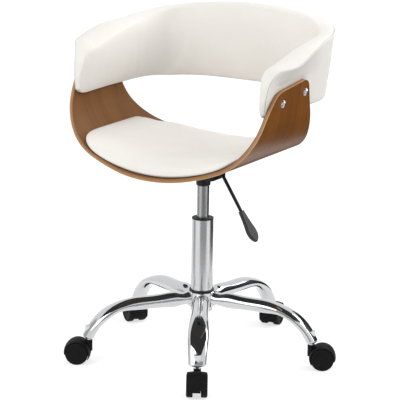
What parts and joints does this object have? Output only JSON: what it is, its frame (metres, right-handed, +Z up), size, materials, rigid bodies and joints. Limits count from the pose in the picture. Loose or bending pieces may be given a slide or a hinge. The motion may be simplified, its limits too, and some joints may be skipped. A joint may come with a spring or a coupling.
{
  "type": "swivel office chair",
  "caption": "Swivel office chair with a bent plywood shell, padded wrap-around back and seat cushion, on a chromed gas lift and a five-arm caster base.",
  "frame": {"origin": "on the floor, on the swivel axis", "axes": "+Z up along the swivel axis, the chair faces -Y, the sitter's left is +X"},
  "size_m": [0.619, 0.6111, 0.7941],
  "materials": {
    "chrome_base": "polished",
    "chrome_column": "polished",
    "black_plastic": "satin",
    "caster_black": "satin",
    "black_metal": "satin",
    "steel": "satin",
    "rubber_black": "matt",
    "walnut": "satin lacquer",
    "board": "raw",
    "leatherette": "smooth, slightly glossy",
    "paddle": "satin",
    "bolt_chrome": "polished"
  },
  "bodies": {
    "base": {"base_hub": "chrome_base", "hub_ring": "black_plastic", "base_arm_1": "chrome_base", "base_arm_2": "chrome_base", "base_arm_3": "chrome_base", "base_arm_4": "chrome_base", "base_arm_5": "chrome_base", "column_tube": "chrome_column", "column_bush": "black_plastic", "caster_stems": "steel"},
    "spindle": {"piston_rod": "steel", "rod_clip": "steel", "thrust_bearing": "steel", "lift_bumper": "rubber_black"},
    "seat": {"gas_cylinder": "chrome_column", "taper_socket": "black_metal", "seat_housing": "black_metal", "mounting_plate": "black_metal", "plate_bolts": "steel", "plate_washers": "steel", "lever_pin": "steel", "plywood_shell": "walnut", "seat_board": "board", "seat_cushion": "leatherette", "cushion_screws": "walnut", "backrest_core": "board", "backrest_facing": "leatherette", "backrest_pad": "leatherette", "arm_bolts": "bolt_chrome", "arm_tee_nuts": "steel"},
    "lever": {"lever_rod": "black_metal", "lever_paddle": "paddle"},
    "button": {"release_button": "steel"},
    "caster_1": {"caster_1_hood": "caster_black", "caster_1_axle": "steel"},
    "caster_1_left": {"caster_1_wheel_left": "caster_black"},
    "caster_1_right": {"caster_1_wheel_right": "caster_black"},
    "caster_2": {"caster_2_hood": "caster_black", "caster_2_axle": "steel"},
    "caster_2_left": {"caster_2_wheel_left": "caster_black"},
    "caster_2_right": {"caster_2_wheel_right": "caster_black"},
    "caster_3": {"caster_3_hood": "caster_black", "caster_3_axle": "steel"},
    "caster_3_left": {"caster_3_wheel_left": "caster_black"},
    "caster_3_right": {"caster_3_wheel_right": "caster_black"},
    "caster_4": {"caster_4_hood": "caster_black", "caster_4_axle": "steel"},
    "caster_4_left": {"caster_4_wheel_left": "caster_black"},
    "caster_4_right": {"caster_4_wheel_right": "caster_black"},
    "caster_5": {"caster_5_hood": "caster_black", "caster_5_axle": "steel"},
    "caster_5_left": {"caster_5_wheel_left": "caster_black"},
    "caster_5_right": {"caster_5_wheel_right": "caster_black"}
  },
  "joints": [
    {"name": "seat_swivel", "type": "hinge", "parent": "base", "child": "spindle", "pos_m": [0, 0, 0.2], "axis": [0, 0, 1], "continuous": true},
    {"name": "seat_height", "type": "slide", "parent": "spindle", "child": "seat", "axis": [0, 0, 1], "range_m": [-0.06, 0.05]},
    {"name": "lever_lift", "type": "hinge", "parent": "seat", "child": "lever", "pos_m": [0.03, -0.011, 0.438], "axis": [0, -1, 0], "range_deg": [0, 6], "stiffness_Nm_per_rad": 1.2},
    {"name": "button_press", "type": "slide", "parent": "seat", "child": "button", "axis": [0, 0, -1], "range_m": [0, 0.0041], "stiffness_N_per_m": 800},
    {"name": "caster_1_swivel", "type": "hinge", "parent": "base", "child": "caster_1", "pos_m": [0.13179, -0.23106, 0.05], "axis": [0, 0, 1], "continuous": true},
    {"name": "caster_1_left_roll", "type": "hinge", "parent": "caster_1", "child": "caster_1_left", "pos_m": [0.14507, -0.25341, 0.0265], "axis": [0.8599, 0.5105, 0], "continuous": true},
    {"name": "caster_1_right_roll", "type": "hinge", "parent": "caster_1", "child": "caster_1_right", "pos_m": [0.14507, -0.25341, 0.0265], "axis": [0.8599, 0.5105, 0], "continuous": true},
    {"name": "caster_2_swivel", "type": "hinge", "parent": "base", "child": "caster_2", "pos_m": [0.26047, 0.05394, 0.05], "axis": [0, 0, 1], "continuous": true},
    {"name": "caster_2_left_roll", "type": "hinge", "parent": "caster_2", "child": "caster_2_left", "pos_m": [0.28349, 0.06603, 0.0265], "axis": [-0.4648, 0.8854, 0], "continuous": true},
    {"name": "caster_2_right_roll", "type": "hinge", "parent": "caster_2", "child": "caster_2_right", "pos_m": [0.28349, 0.06603, 0.0265], "axis": [-0.4648, 0.8854, 0], "continuous": true},
    {"name": "caster_3_swivel", "type": "hinge", "parent": "base", "child": "caster_3", "pos_m": [0.02919, 0.26439, 0.05], "axis": [0, 0, 1], "continuous": true},
    {"name": "caster_3_left_roll", "type": "hinge", "parent": "caster_3", "child": "caster_3_left", "pos_m": [0.02526, 0.29009, 0.0265], "axis": [-0.9885, -0.1513, 0], "continuous": true},
    {"name": "caster_3_right_roll", "type": "hinge", "parent": "caster_3", "child": "caster_3_right", "pos_m": [0.02526, 0.29009, 0.0265], "axis": [-0.9885, -0.1513, 0], "continuous": true},
    {"name": "caster_4_swivel", "type": "hinge", "parent": "base", "child": "caster_4", "pos_m": [-0.24243, 0.10946, 0.05], "axis": [0, 0, 1], "continuous": true},
    {"name": "caster_4_left_roll", "type": "hinge", "parent": "caster_4", "child": "caster_4_left", "pos_m": [-0.26391, 0.12411, 0.0265], "axis": [-0.5635, -0.8261, 0], "continuous": true},
    {"name": "caster_4_right_roll", "type": "hinge", "parent": "caster_4", "child": "caster_4_right", "pos_m": [-0.26391, 0.12411, 0.0265], "axis": [-0.5635, -0.8261, 0], "continuous": true},
    {"name": "caster_5_swivel", "type": "hinge", "parent": "base", "child": "caster_5", "pos_m": [-0.17902, -0.19674, 0.05], "axis": [0, 0, 1], "continuous": true},
    {"name": "caster_5_left_roll", "type": "hinge", "parent": "caster_5", "child": "caster_5_left", "pos_m": [-0.20204, -0.20883, 0.0265], "axis": [0.4648, -0.8854, 0], "continuous": true},
    {"name": "caster_5_right_roll", "type": "hinge", "parent": "caster_5", "child": "caster_5_right", "pos_m": [-0.20204, -0.20883, 0.0265], "axis": [0.4648, -0.8854, 0], "continuous": true}
  ],
  "couplings": [
    {"joint": "button_press", "follows": "lever_lift", "m_per_rad": 0.036}
  ]
}
